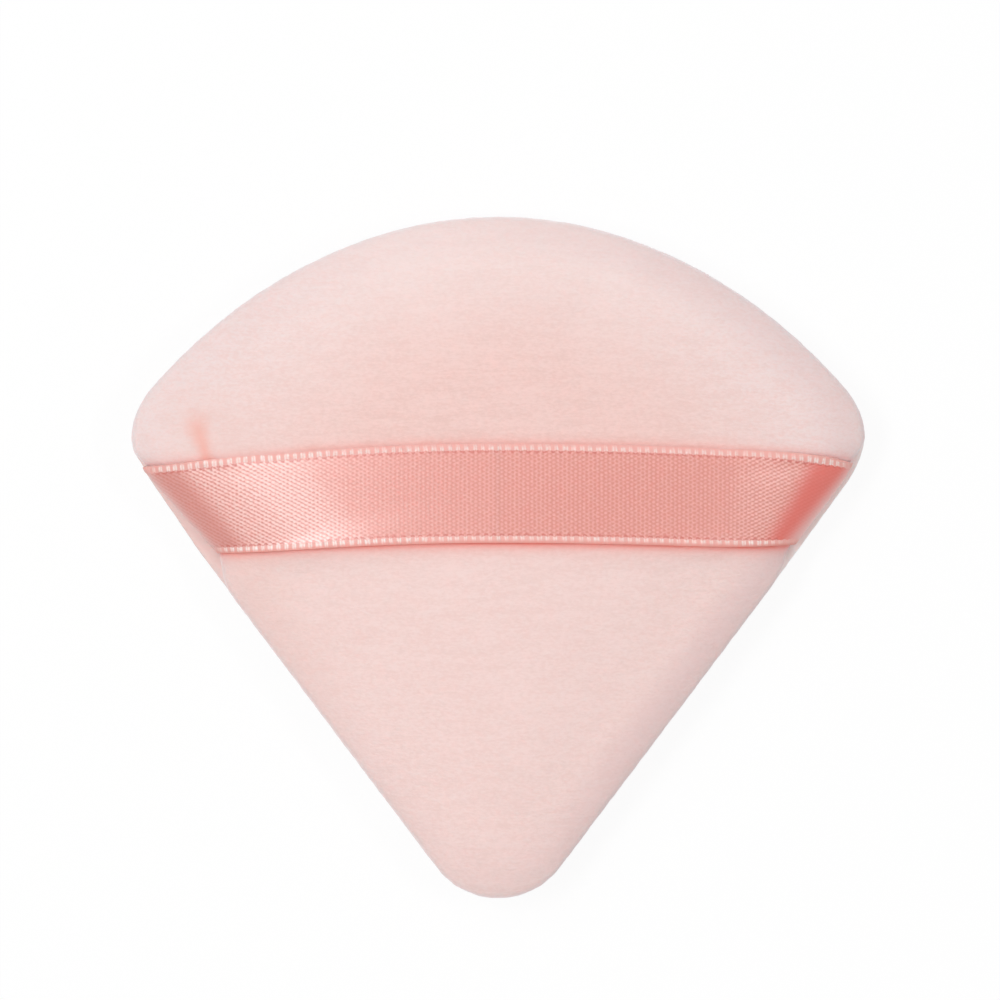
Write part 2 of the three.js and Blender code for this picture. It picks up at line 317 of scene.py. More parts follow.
def past_end(y, end, below, above):
    """How far heights on the outline lie past an end of the ribbon: 0 there, and 1 past the reaches."""
    return np.maximum(
        smoothstep(*below, end[0] - y),
        smoothstep(*above, y - end[1]))


def pinch(x, y, face):
    """How far a ribbon's end draws in the edge of the front (face 1) or the rear (-1), or the seam (0).

    Only the sign of x matters.
    """

    def at_side(end, front_pinch, rear_pinch):
        front, rear = np.interp(y, end, front_pinch), np.interp(y, end, rear_pinch)
        depth = rear + (front - rear) * (face + 1) / 2
        return depth * (1 - past_end(y, end, (0, PINCH_BELOW), (0, PINCH_ABOVE)))

    right = at_side(RIGHT_END, FRONT_RIGHT_PINCH, REAR_RIGHT_PINCH)
    left = at_side(LEFT_END, FRONT_LEFT_PINCH, REAR_LEFT_PINCH)
    return np.where(np.asarray(x) > 0, right, left)


def edge_drawn(face):
    """The outline as one face's edge follows it once sewn."""
    x, y = OUTLINE.T
    ease = np.interp((y - SHOULDER[1]) / SHOULDER_DROP, ARCH_EASE_SHARES, ARCH_EASE)
    return OUTLINE - OUTLINE_NORMALS * (pinch(x, y, face) + ease)[:, None]


def drawn_reach(ways, face):
    """How far each way from the heart reaches to a face's drawn edge."""
    drawn = edge_drawn(face) - HEART
    return np.interp(
        np.arctan2(ways[:, 1], ways[:, 0]), np.arctan2(drawn[:, 1], drawn[:, 0]),
        np.linalg.norm(drawn, axis=1), period=TURN)


def drawn_shares(places, face):
    """How far out each place is, from 0 at the heart to 1 on a face's drawn edge."""
    ways = places - HEART
    return np.linalg.norm(ways, axis=1) / drawn_reach(ways, face)


def edge_shares(places):
    """How far out each place is, from 0 at the heart to 1 on the outline."""
    ahead = np.roll(OUTLINE, -1, axis=0)
    normals = unit(np.column_stack((ahead[:, 1] - OUTLINE[:, 1], OUTLINE[:, 0] - ahead[:, 0])))
    reach = np.einsum("ij,ij->i", normals, OUTLINE - HEART)
    return np.max((places - HEART) @ (normals / reach[:, None]).T, axis=1)


def half_gap(place):
    """Half of the gap between the seam allowances, wider where a ribbon end lies between them."""
    closed = float(past_end(place.y, RIGHT_END if place.x > 0 else LEFT_END, GAP_REACH, GAP_REACH))
    return OPEN_HALF_GAP + (CLEARANCE / 2 - OPEN_HALF_GAP) * closed


def dome_rise(share, rise):
    """Rise of a padded face over its edge: an edge roll, then a slow crown."""
    roll = np.clip((share - (1 - ROLL_SHARE)) / ROLL_SHARE, 0, 1)
    rolled = (1 - roll ** ROLL_POWER) ** (1 / ROLL_POWER)
    return (rise - CROWN_RISE) * rolled + CROWN_RISE * (1 - share ** 2)


def outer_rise(share, rise):
    """Rise of the pad's outside over the seam, from the groove up."""
    return GROOVE_HALF_WIDTH + dome_rise(share, rise - GROOVE_HALF_WIDTH)


# Meshes

def placed(name, data):
    """A new object in the scene, which shows the data."""
    made = bpy.data.objects.new(name, data)
    bpy.context.scene.collection.objects.link(made)
    return made


def finished(name, mesh, material, body=None):
    """A new piece of the puff at the origin, with its finish, on its body."""
    mesh.name = name
    piece = placed(name, mesh)
    mesh.materials.clear()
    mesh.materials.append(material)
    mesh.polygons.foreach_set("use_smooth", [True] * len(mesh.polygons))
    if body:
        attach(piece, body)
    return piece


def applied(obj):
    """The object's mesh with its modifiers applied; the object itself goes."""
    shown = obj.evaluated_get(bpy.context.evaluated_depsgraph_get())
    mesh = bpy.data.meshes.new_from_object(shown)
    bpy.data.objects.remove(obj)
    return mesh


def subdivided(mesh, levels):
    obj = placed("scratch", mesh)
    smoothing = obj.modifiers.new("smooth", "SUBSURF")
    smoothing.levels = smoothing.render_levels = levels
    return applied(obj)


def remeshed(mesh, step):
    obj = placed("scratch", mesh)
    remesh = obj.modifiers.new("even", "REMESH")
    remesh.mode = "VOXEL"
    remesh.voxel_size = step
    return applied(obj)


def coordinates(mesh):
    co = np.empty(len(mesh.vertices) * 3)
    mesh.vertices.foreach_get("co", co)
    return co.reshape(-1, 3)


def set_coordinates(mesh, co):
    mesh.vertices.foreach_set("co", co.ravel())
    mesh.update()


def keep_values(mesh, name, values):
    """Keeps a number for each point of a mesh, which its finish reads by name."""
    mesh.attributes.new(name, "FLOAT", "POINT").data.foreach_set("value", values)


def working_bmesh(mesh):
    """A bmesh to work on, made from a mesh."""
    bm = bmesh.new()
    bm.from_mesh(mesh)
    return bm


def made_mesh(bm, name):
    """A new mesh made from a bmesh, which goes."""
    mesh = bpy.data.meshes.new(name)
    bm.to_mesh(mesh)
    bm.free()
    return mesh


def everything(bm):
    return bm.verts[:] + bm.edges[:] + bm.faces[:]


def open_edges(bm):
    return [edge for edge in bm.edges if edge.is_boundary]


def extruded(bm, edges):
    """Extrudes a loop of edges where it lies. Returns its new edges and points."""
    made = bmesh.ops.extrude_edge_only(bm, edges=edges)["geom"]
    new_edges = [part for part in made if isinstance(part, bmesh.types.BMEdge)]
    new_verts = [part for part in made if isinstance(part, bmesh.types.BMVert)]
    return new_edges, new_verts


# The pad's skin

def pad_ring(share, rise, side, inset=0.0):
    """One ring of the pad's skin: the drawn edge, set in and moved towards the heart."""
    ring = HEART + share * (edge_drawn(side) - OUTLINE_NORMALS * inset - HEART)
    return np.column_stack((ring, np.full(len(ring), SEAM_Z + side * rise)))


def rings_mesh(rings):
    """A closed skin: the first ring as a loop, extruded through the others and filled at both ends."""
    bm = bmesh.new()
    loop = [bm.verts.new(place) for place in rings[0]]
    edges = [bm.edges.new((loop[i - 1], loop[i])) for i in range(len(loop))]
    bmesh.ops.edgeloop_fill(bm, edges=edges)
    for ring in rings[1:]:
        edges, verts = extruded(bm, edges)
        for vert, place in zip(verts, ring):
            vert.co = place
    bmesh.ops.edgeloop_fill(bm, edges=edges)
    bmesh.ops.recalc_face_normals(bm, faces=bm.faces)
    return made_mesh(bm, "skin")


def pad_skin():
    """The pad's outer skin before it swells, a little flatter than the finished pad."""
    rings = [
        pad_ring(share, outer_rise(share, REAR_RISE + RESTING_CUT - SWELL), -1) for share in SKIN_SHARES]
    rings += [pad_ring(1, GROOVE_HALF_WIDTH, -1), pad_ring(1, 0, 0), pad_ring(1, GROOVE_HALF_WIDTH, 1)]
    rings += [
        pad_ring(share, outer_rise(share, FRONT_RISE - SWELL), 1) for share in reversed(SKIN_SHARES)]
    return rings_mesh(rings)


def swollen(mesh):
    """The skin blown up by its filling. The seam stays where it is sewn, and the swelling is capped."""
    start = coordinates(mesh)
    set_coordinates(mesh, start * SIMULATION_SCALE)
    obj = placed("scratch", mesh)
    seam = obj.vertex_groups.new(name="seam")
    near_seam = np.abs(start[:, 2] - SEAM_Z) < GROOVE_HALF_WIDTH + SKIN_STEP / 2
    seam.add([int(i) for i in np.flatnonzero(near_seam)], 1, "REPLACE")
    cloth = obj.modifiers.new("swell", "CLOTH")
    cloth.settings.quality = CLOTH_QUALITY
    cloth.settings.vertex_group_mass = "seam"
    cloth.settings.use_pressure = True
    cloth.settings.uniform_pressure_force = PRESSURE
    cloth.settings.effector_weights.gravity = 0
    cloth.point_cache.frame_start = 1
    cloth.point_cache.frame_end = SIMULATION_FRAMES
    for step in range(1, SIMULATION_FRAMES + 1):
        bpy.context.scene.frame_set(step)
    mesh = applied(obj)
    bpy.context.scene.frame_set(1)
    moved = coordinates(mesh) / SIMULATION_SCALE - start
    length = np.linalg.norm(moved, axis=1)
    capped = np.minimum(1, SWELL / np.maximum(length, 1e-9))[:, None]
    set_coordinates(mesh, start + moved * capped)
    return mesh


# The ribbon's path

def crossing(y, share, side):
    """How far from the middle line the front's ring of a share lies at a height y on one side."""
    outline_y = HEART_Y + (y - HEART_Y) / share
    return share * (half_width_at(outline_y) - pinch(side, outline_y, 1) / math.cos(SIDE_ANGLE))


def ribbon_fall(middle_y, share, side):
    """How much lower than its middle a line of the ribbon lies, at a share of the way to its end."""
    upper = (middle_y - RIBBON_Y) / RIBBON_WIDTH + 0.5
    bow = np.interp(upper, (0, 1), RIGHT_BOW if side > 0 else LEFT_BOW)
    gather = np.interp(upper, (0, 1), RIGHT_GATHER if side > 0 else LEFT_GATHER)
    return bow * share ** 2 + gather * share ** GATHER_POWER


def ribbon_height(middle_y, x):
    """How high a line of the ribbon lies at each x of the front."""
    share = np.minimum(1, np.abs(x) / half_width_at(middle_y))
    fall = np.where(x > 0, ribbon_fall(middle_y, share, 1), ribbon_fall(middle_y, share, -1))
    return middle_y - fall


def offset_line(line, distance):
    """The line moved out by a distance measured square to the pad, whose sides slant in plan."""
    ahead = np.gradient(line, axis=0)
    normals = unit(np.column_stack((ahead[:, 2], np.zeros(len(line)), -ahead[:, 0])))
    slant = np.hypot(normals[:, 0] / math.cos(SIDE_ANGLE), normals[:, 2])
    return line + normals * (distance * slant)[:, None]


def ribbon_line(middle_y, side, count):
    """A line along one half of the ribbon, from its tucked end to mid-span, drawn on the right."""
    stand_off = CLEARANCE + RIBBON_THICKNESS / 2
    end_y = middle_y - ribbon_fall(middle_y, 1, side)
    edge_x = crossing(end_y, 1, side)

    def beyond(distance, rise):
        """A place off the front's edge, past the groove's wall by a distance square to the side."""
        return (edge_x + distance / math.cos(SIDE_ANGLE), end_y, SEAM_Z + rise)

    tucked = np.array([
        beyond(-RIBBON_TUCK, 0),
        beyond(-GROOVE_DEPTH - CLEARANCE, 0),
        beyond(-CLEARANCE / 2, 0),
        beyond(stand_off / 2, GROOVE_HALF_WIDTH / 4),
        beyond(stand_off, 2 * GROOVE_HALF_WIDTH / 3),
    ])
    angles = np.linspace(0, math.pi / 2, ROLL_POINTS)
    shares = 1 - ROLL_SHARE + ROLL_SHARE * np.cos(angles) ** (2 / ROLL_POWER)
    ys = middle_y - ribbon_fall(middle_y, shares, side)
    rolled_x = crossing(ys, shares, side)
    rolled = np.column_stack((rolled_x, ys, SEAM_Z + outer_rise(shares, FRONT_RISE)))
    span_x = rolled[-1, 0] * np.linspace(1, 0, SPAN_POINTS)[1:]
    span_y = middle_y - ribbon_fall(middle_y, span_x / edge_x, side)
    span_shares = drawn_shares(np.column_stack((span_x * side, span_y)), 1)
    span = np.column_stack((span_x, span_y, SEAM_Z + outer_rise(span_shares, FRONT_RISE)))
    face = offset_line(np.vstack((rolled, span)), stand_off)
    face[-1, 0] = 0
    line = resampled(np.vstack((tucked, face)), count)
    return resampled(eased(line, EASING_PASSES), count)


# The two velour panels

def ribbon_press(places):
    """How much the ribbon holds each place of the front down, from 0 beside it to 1 under it."""
    past = np.abs(places[:, 1] - ribbon_height(RIBBON_Y, places[:, 0])) - RIBBON_WIDTH / 2
    return 1 - smoothstep(0, PRESS_REACH, past)


def crease_depth(x, y):
    """How deep the crease is at a place of the front: deepest at the ribbon, with low lips beside it."""
    along = CREASE_END - CREASE_START
    share = (Vector((x, y)) - CREASE_START).dot(along) / along.length_squared
    nearest = CREASE_START + along * min(1, max(0, share))
    distance = (Vector((x, y)) - nearest).length / CREASE_HALF_WIDTH
    lips = CREASE_LIP * math.exp(-(distance - CREASE_LIP_PLACE) ** 2)
    deepening = min(1, max(CREASE_SHALLOWEST, share + CREASE_START_SHARE))
    return CREASE_DEPTH * deepening * (math.exp(-distance ** 2) - lips)


def pile_relief(place):
    clump = noise.noise(place / PILE_CLUMP)
    tuft = noise.noise(place / (PILE_CLUMP / 2) + TUFT_SHIFT)
    return PILE_RELIEF * (clump + tuft / 2)


def shape_front(co):
    """The front under its ribbon: held there, its pile up to the ribbon's flat part, and free beside it."""
    shares = drawn_shares(co[:, :2], 1)
    lift = PILE_LIFT * (1 - smoothstep(*PILE_LIFT_END, shares))
    sewn = SEAM_Z + outer_rise(np.clip(shares, 0, 1), FRONT_RISE) + lift
    press = ribbon_press(co) * smoothstep(SEAM_Z + GROOVE_HALF_WIDTH, SEAM_Z + FRONT_RISE / 2, co[:, 2])
    co[:, 2] += press * (sewn - co[:, 2])
    return co


def shape_rear(co):
    """The rear lies flat where it rests."""
    low = co[:, 2]
    ease = RESTING_CUT / 2
    lift = np.where(low < ease, (low - ease) ** 2 / (4 * ease), 0)
    co[:, 2] = np.where(low < -ease, 0, low + lift)
    return co


def edge_roll(co, side):
    """The panel's edge laid on the section that it is sewn to, which an even mesh would leave in steps."""
    ways = co[:, :2] - HEART
    distance = np.maximum(MM, np.linalg.norm(ways, axis=1))
    shares = np.linspace(1, 1 - ROLL_SHARE, SECTION_POINTS)
    section = outer_rise(shares, FRONT_RISE if side > 0 else REAR_RISE + RESTING_CUT)
    height = side * (co[:, 2] - SEAM_Z)
    wanted = drawn_reach(ways, side) * np.interp(height, section, shares)
    hold = 1 - smoothstep(EDGE_HOLD / 2, EDGE_HOLD, height)
    co[:, :2] += ways * (hold * (wanted / distance - 1))[:, None]
    return co


def painted_ribbon_shadow(co):
    """How much painted shadow and light bounced off the ribbon each place beside it gets: deep under its
    lower edge.
    """
    depth = np.zeros(len(co))
    for edge_share, strength, reach in RIBBON_SHADOWS:
        line_y = ribbon_height(RIBBON_Y + edge_share * RIBBON_WIDTH, co[:, 0])
        depth = np.maximum(depth, strength * np.exp(-np.abs(co[:, 1] - line_y) / reach))
    return depth * (co[:, 2] > SEAM_Z + GROOVE_HALF_WIDTH)


def panel_face(skin, side):
    """The front (side 1) or the rear (-1) of the skin, from the groove up, in its sewn shape."""
    bm = working_bmesh(skin)
    cut = Vector((0, 0, SEAM_Z + side * GROOVE_HALF_WIDTH))
    bmesh.ops.bisect_plane(
        bm, geom=everything(bm), dist=MM / 100, plane_co=cut, plane_no=(0, 0, side), clear_inner=True)
    face = made_mesh(bm, "face")
    co = edge_roll(coordinates(face), side)
    set_coordinates(face, shape_front(co) if side > 0 else shape_rear(co))
    return face


def give_pile(bm, side):
    """Puckers a panel beside its seam and gives it its pile, the front its crease, the rear its flat."""
    bm.normal_update()
    for vert in bm.verts:
        above = abs(vert.co.z - SEAM_Z) - GROOVE_HALF_WIDTH
        if above < PUCKER_REACH:
            i = outline_index(vert.co.x, vert.co.y)
            fade = (1 - above / PUCKER_REACH) ** 2
            pucker = wave(OUTLINE_RUNS[i] / PUCKER_PITCH)
            vert.co -= Vector((*OUTLINE_NORMALS[i], 0)) * PUCKER_DEPTH * fade * pucker
        vert.co += vert.normal * pile_relief(vert.co)
        if side > 0:
            vert.co.z -= crease_depth(vert.co.x, vert.co.y)
        else:
            vert.co.z = max(vert.co.z, 0)


def turn_in(bm, side):
    """Turns the panel's edge into the seam: a rounded lip, then the allowance. Returns its last edges.

    The seam is drawn in as far as the front, so the rear's lip is wider where the ribbon ends.
    """
    edges = open_edges(bm)
    places = {}
    for vert in {vert for edge in edges for vert in edge.verts}:
        out = OUTLINE_NORMALS[outline_index(vert.co.x, vert.co.y)]
        places[vert] = (vert.co.copy(), Vector((*out, 0)))
    steps = [(share, GROOVE_DEPTH, height, 0) for share, height in LIP_SHARES]
    steps += [(1, ALLOWANCE_WIDTH, 0, back) for back in (0, ALLOWANCE_THICKNESS)]
    for share, depth, height, back in steps:
        edges, verts = extruded(bm, edges)
        new_places = {}
        for vert in verts:
            before = next(e.other_vert(vert) for e in vert.link_edges if e.other_vert(vert) in places)
            place, out = places[before]
            drawn = float(pinch(place.x, place.y, 1) - pinch(place.x, place.y, side))
            vert.co = place - out * share * (depth + drawn)
            gap = half_gap(vert.co)
            vert.co.z = SEAM_Z + side * (gap + height * (GROOVE_HALF_WIDTH - gap) + back)
            new_places[vert] = (place, out)
        places = new_places
    return edges


def add_inside(bm, face, edges, side):
    """The panel's inner face, joined to the end of its allowance."""
    inner = working_bmesh(face)
    inner.normal_update()
    for vert in inner.verts:
        vert.co -= vert.normal * VELOUR_THICKNESS
        low = half_gap(vert.co) + ALLOWANCE_THICKNESS
        rise = max(side * (vert.co.z - SEAM_Z), low)
        vert.co.z = SEAM_Z + side * rise
    bmesh.ops.reverse_faces(inner, faces=inner.faces)
    known = set(bm.verts)
    bm.from_mesh(made_mesh(inner, "inside"))
    rim = [edge for edge in open_edges(bm) if edge.verts[0] not in known]
    bmesh.ops.bridge_loops(bm, edges=edges + rim)
    bmesh.ops.recalc_face_normals(bm, faces=bm.faces)


def velour_panel(name, skin, side):
    face = panel_face(skin, side)
    inside = face.copy()
    bm = working_bmesh(subdivided(face, 2))
    give_pile(bm, side)
    inner_edges = turn_in(bm, side)
    add_inside(bm, inside, inner_edges, side)
    mesh = made_mesh(bm, name)
    co = coordinates(mesh)
    keep_values(mesh, "edge_share", edge_shares(co[:, :2]))
    keep_values(mesh, "painted_ribbon_shadow", painted_ribbon_shadow(co))
    return mesh


# The ribbon

def ribbon_rows():
    """Shares across the ribbon, close together along its two selvedges."""
    edge = np.linspace(0, 1, SELVEDGE_ROWS) * SELVEDGE_ROWS_WIDTH / RIBBON_WIDTH
    middle = np.linspace(edge[-1], 1 - edge[-1], FIELD_ROWS)[1:-1]
    return np.concatenate((edge, middle, 1 - edge[::-1]))


def selvedge_relief(along, across):
    """Height of the ribbon's woven edge over its field: a cord of close ticks."""
    from_edge = min(across, 1 - across) * RIBBON_WIDTH
    if from_edge > SELVEDGE_WIDTH:
        return 0.0
    cord = math.sin(math.pi * from_edge / SELVEDGE_WIDTH) ** 2
    return SELVEDGE_RELIEF * cord * (1 - TICK_SHARE + TICK_SHARE * wave(along / TICK_PITCH))


def ribbon_surface(side, rows):
    """The middle surface of half of the ribbon: its places by row and column from the tucked end to
    mid-span, the directions out of it, and how far from mid-span each place lies along its row."""
    count = round((PAD_WIDTH / 2 + FRONT_RISE + RIBBON_TUCK) / RIBBON_STEP)
    lines = np.array([
        ribbon_line(RIBBON_Y + RIBBON_WIDTH * (share - 0.5), side, count) for share in rows])
    lines[:, :, 0] *= side
    normals = unit(np.cross(np.gradient(lines, axis=1), np.gradient(lines, rows, axis=0)))
    normals *= np.sign(normals[:, -1:, 2:3])
    runs = np.array([runs_along(line[::-1])[::-1] for line in lines])
    return lines, normals, runs


def ribbon_half(name, side, material):
    """Half of the ribbon, from mid-span into the seam on one side, and its length."""
    rows = ribbon_rows()
    lines, normals, runs = ribbon_surface(side, rows)
    last_row, last_column = len(rows) - 1, lines.shape[1] - 1
    bm = bmesh.new()
    grid = bmesh.ops.create_grid(bm, x_segments=last_column, y_segments=last_row, size=0.5)
    uv = bm.loops.layers.uv.new("weave")
    places = {}
    for vert in grid["verts"]:
        places[vert] = (round((vert.co.y + 0.5) * last_row), round((vert.co.x + 0.5) * last_column))
    for face in bm.faces:
        for loop in face.loops:
            row, column = places[loop.vert]
            loop[uv].uv = (side * runs[row, column] / MM, (rows[row] - 0.5) * RIBBON_WIDTH / MM)
    top = set(bm.faces)
    twin = bmesh.ops.duplicate(bm, geom=everything(bm))["vert_map"]
    for vert, (row, column) in places.items():
        centre = Vector(lines[row, column])
        normal = Vector(normals[row, column])
        relief = selvedge_relief(runs[row, column], rows[row])
        vert.co = centre + normal * (RIBBON_THICKNESS / 2 + relief)
        twin[vert].co = centre - normal * RIBBON_THICKNESS / 2
    bmesh.ops.reverse_faces(bm, faces=[face for face in bm.faces if face not in top])
    bmesh.ops.bridge_loops(bm, edges=open_edges(bm))
    bmesh.ops.recalc_face_normals(bm, faces=bm.faces)
    piece = finished(name, made_mesh(bm, name), material)
    piece.data.set_sharp_from_angle(angle=SHARP_CORNER)
    return piece, float(runs[:, 0].mean())


# The foam and the closing thread

def foam_mesh():
    inset = ALLOWANCE_WIDTH + CLEARANCE

    def foam_ring(share, rise, side):
        low = OPEN_HALF_GAP + ALLOWANCE_THICKNESS
        top = dome_rise(FOAM_SECTION * share, rise - VELOUR_THICKNESS - CLEARANCE - low)
        return pad_ring(share, low + top - CLEARANCE, side, inset)

    rings = [foam_ring(share, REAR_RISE, -1) for share in FOAM_SHARES]
    rings += [foam_ring(share, FRONT_RISE, 1) for share in reversed(FOAM_SHARES)]
    return subdivided(remeshed(rings_mesh(rings), 2 * SKIN_STEP), 1)


def thread_path():
    """The closing thread's middle line, stitched from wall to wall of the seam's groove."""
    turns = np.linspace(0, CLOSING_STITCHES, STITCH_POINTS * CLOSING_STITCHES)
    shares = np.interp(turns, (0, CLOSING_STITCHES), CLOSING_SHARES)
    angles = math.pi / 2 + (ARCH_END - math.pi / 2) * shares
    places = arch_core(angles) + arch_normals(angles) * (CORNER_RADIUS - LADDER_INSET)
    return np.column_stack((places, SEAM_Z - LADDER_HALF_HEIGHT * np.cos(math.pi * turns)))


def ply_strand(path, phase):
    """One of the thread's two plies, wound round its middle line."""
    radius = THREAD_DIAMETER / 4
    ahead = unit(np.gradient(path, axis=0))
    beside = unit(np.cross(ahead, (0, 0, 1)))
    up = np.cross(beside, ahead)
    angles = phase + TURN * runs_along(path) / PLY_PITCH
    wound = path + radius * (np.cos(angles)[:, None] * beside + np.sin(angles)[:, None] * up)
    curve = bpy.data.curves.new("ply", "CURVE")
    curve.dimensions = "3D"
    curve.bevel_depth = radius
    curve.bevel_resolution = 2
    curve.use_fill_caps = True
    spline = curve.splines.new("POLY")
    spline.points.add(len(wound) - 1)
    spline.points.foreach_set("co", np.column_stack((wound, np.ones(len(wound)))).ravel())
    return applied(placed("scratch", curve))


def closing_stitches_mesh():
    path = thread_path()
    bm = bmesh.new()
    for phase in (0, math.pi):
        bm.from_mesh(ply_strand(path, phase))
    bmesh.ops.remove_doubles(bm, verts=bm.verts, dist=MM / 1000)
    bmesh.ops.recalc_face_normals(bm, faces=bm.faces)
    return made_mesh(bm, "closing_stitches")


# Colours

def tint(red, green, blue):
    """A colour written as it is seen, 0 to 255, turned into light."""
    parts = [c / 255 for c in (red, green, blue)]
    return tuple(c / 12.92 if c <= 0.04045 else ((c + 0.055) / 1.055) ** 2.4 for c in parts) + (1,)


WHITE = (1, 1, 1, 1)

PILE_DEEP = tint(232, 197, 190)
PILE_PALE = tint(240, 207, 201)
LOWER_PILE = tint(243, 223, 220)
# Painted sheen over the velour's shoulders
SHOULDER_SHEEN_MIDDLE = tint(242, 223, 220)
SHOULDER_SHEEN_SIDES = tint(238, 219, 217)
# Painted shade on the rolled edge, and painted light on the rear's rim
EDGE_PAINTED_SHADE = tint(212, 184, 184)
REAR_RIM_LIGHT_LEFT = tint(236, 208, 203)
REAR_RIM_LIGHT_RIGHT = tint(255, 236, 233)
# Painted shade round and along the crease
CREASE_SHADE = tint(232, 197, 189)
CREASE_PAINTED_SHADE = tint(240, 176, 162)
# Painted shadow of the ribbon on the velour, pink with its bounced light
RIBBON_SHADOW_PINK = tint(238, 112, 96)
PILE_SHEEN = tint(246, 244, 250)

# The satin's floats, painted brighter as glints towards its ends, its painted highlight, and painted shade
# where its ends turn down
SATIN_DEEP = tint(222, 139, 127)
SATIN_GLINT = tint(250, 190, 182)
SATIN_LIT = tint(255, 208, 202)
RIGHT_TURN_SHADE = tint(230, 112, 101)
LEFT_TURN_SHADE = tint(212, 134, 124)
SEWN_END_PALE = tint(240, 198, 193)
SELVEDGE_GROUND = tint(237, 171, 162)
SELVEDGE_TICK = tint(255, 238, 233)
# Painted shade on the lower selvedge's rounded edge
SELVEDGE_LOWER_EDGE_SHADE = tint(226, 138, 124)
SELVEDGE_STITCH = tint(206, 92, 82)

FOAM_CELL = tint(222, 212, 196)
FOAM_WALL = tint(247, 242, 233)
THREAD_HOLLOW = tint(226, 190, 184)
THREAD_PLY = tint(246, 219, 213)

# Over what reaches the velour's shades come in
UPPER_REACH = (-3 * MM, 13 * MM)
ASIDE_REACH = (8 * MM, 30 * MM)
RIGHTWARD_REACH = (-5 * MM, 18 * MM)
CREASE_SHADE_REACH = 8 * MM

# The satin's weave: waves in a millimetre along and across the ribbon
FALLING_WAVES = (1.42, 2.46)
RISING_WAVES = (-1.25, 2.46)
COLUMN_WAVES = 2.28

# Where the satin's shades come in, in millimetres from mid-span towards its right end
LEFT_WEAVE_REACH = (-22, -8)
RIGHT_WEAVE_REACH = (22, 27.5)
RIGHT_TURN_REACH = (28.4, 31.2)

# The same, from mid-span out along the pad's slanted sides
LIT_REACH = (14.5, 19.5)
LEFT_TURN_REACH = (27.6, 30.6)
SEWN_END_REACH = (31.9, 34.7)
LEFT_TICKS_REACH = (5, 20)
RIGHT_TICKS_REACH = (26.5, 29.5)
TICKS_FADE_REACH = (30.5, 33.5)


# Finishes

class Socket:
    """An output of a shader node. Sums on it add Math nodes."""

    def __init__(self, finish, link):
        self.finish = finish
        self.link = link

    def math(self, operation, *values):
        return self.finish.node("ShaderNodeMath", {"operation": operation}, dict(enumerate(values)))[0]

    def __add__(self, other):
        return self.math("ADD", self, other)

    __radd__ = __add__

    def __sub__(self, other):
        return self.math("SUBTRACT", self, other)

    def __rsub__(self, other):
        return self.math("SUBTRACT", other, self)

    def __mul__(self, other):
        return self.math("MULTIPLY", self, other)

    __rmul__ = __mul__

    def size(self):
        return self.math("ABSOLUTE", self)

    def cosine(self):
        return self.math("COSINE", self)

    def wave(self):
        """1 at every whole turn of an angle, 0 half a turn further."""
        return 0.5 + 0.5 * self.cosine()

    def over(self, low, high):
        """0 below low and 1 above high, with a smooth step between."""
        settings = {"interpolation_type": "SMOOTHSTEP"}
        return self.finish.node("ShaderNodeMapRange", settings, {0: self, 1: low, 2: high})[0]


class Finish:
    """The nodes of a material or of the world."""

    def __init__(self, owner):
        self.owner = owner
        owner.use_nodes = True
        self.tree = owner.node_tree
        self.tree.nodes.clear()

    def node(self, kind, settings=None, values=None):
        """A node of a kind, its settings set first, then its sockets. Returns its outputs."""
        made = self.tree.nodes.new(kind)
        for name, value in (settings or {}).items():
            setattr(made, name, value)
        for socket, value in (values or {}).items():
            if isinstance(value, Socket):
                self.tree.links.new(value.link, made.inputs[socket])
            else:
                made.inputs[socket].default_value = value
        outputs = {output.name: Socket(self, output) for output in made.outputs}
        outputs.update(enumerate(Socket(self, output) for output in made.outputs))
        return outputs

    def mix(self, share, first, second):
        """One colour where share is 0, and the other where it is 1."""
        settings = {"data_type": "RGBA"}
        return self.node("ShaderNodeMix", settings, {0: share, 6: first, 7: second})[2]

    def noise(self, vector, scale, detail, roughness):
        values = {"Vector": vector, "Scale": scale, "Detail": detail, "Roughness": roughness}
        return self.node("ShaderNodeTexNoise", None, values)[0]

    def stretched(self, vector, scale, turn=0.0):
        values = {"Vector": vector, "Rotation": (0, 0, turn), "Scale": scale}
        return self.node("ShaderNodeMapping", None, values)[0]

    def place(self):
        """Where on the object each point lies."""
        return self.node("ShaderNodeTexCoord")["Object"]

    def parts(self, vector):
        return self.node("ShaderNodeSeparateXYZ", None, {"Vector": vector})

    def kept_value(self, name):
        """The number that the mesh keeps for each of its points under a name."""
        return self.node("ShaderNodeAttribute", {"attribute_name": name})["Fac"]

    def bump(self, height, distance, strength):
        values = {"Strength": strength, "Distance": distance, "Height": height}
        return self.node("ShaderNodeBump", None, values)[0]

    def shaded(self, values):
        """The finished material, its shader set up with these values."""
        shader = self.node("ShaderNodeBsdfPrincipled", None, values)[0]
        self.node("ShaderNodeOutputMaterial", None, {"Surface": shader})
        return self.owner


def crease_shades(parts):
    """The wide faint painted shade round the crease, and the deeper painted shade along it, widest at its
    far end.
    """
    along = CREASE_END - CREASE_START
    way = along.normalized()
    x, y = parts["X"] - CREASE_START.x, parts["Y"] - CREASE_START.y
    down = x * way.x + y * way.y
    across = (x * way.y - y * way.x).size()
    narrowed = across + down.over(0, along.length) * (across * 0.9)
    near = 1 - narrowed.over(0, 2.5 * CREASE_HALF_WIDTH)
    reach = down.over(-1.5 * MM, 2 * MM) * (1 - down.over(along.length, along.length + MM))
    front = parts["Z"].over(SEAM_Z, SEAM_Z + FRONT_RISE / 2)
    around = (1 - across.over(0, CREASE_SHADE_REACH)) * down.over(-6 * MM, 2 * MM)
    return around * front, near * reach * front


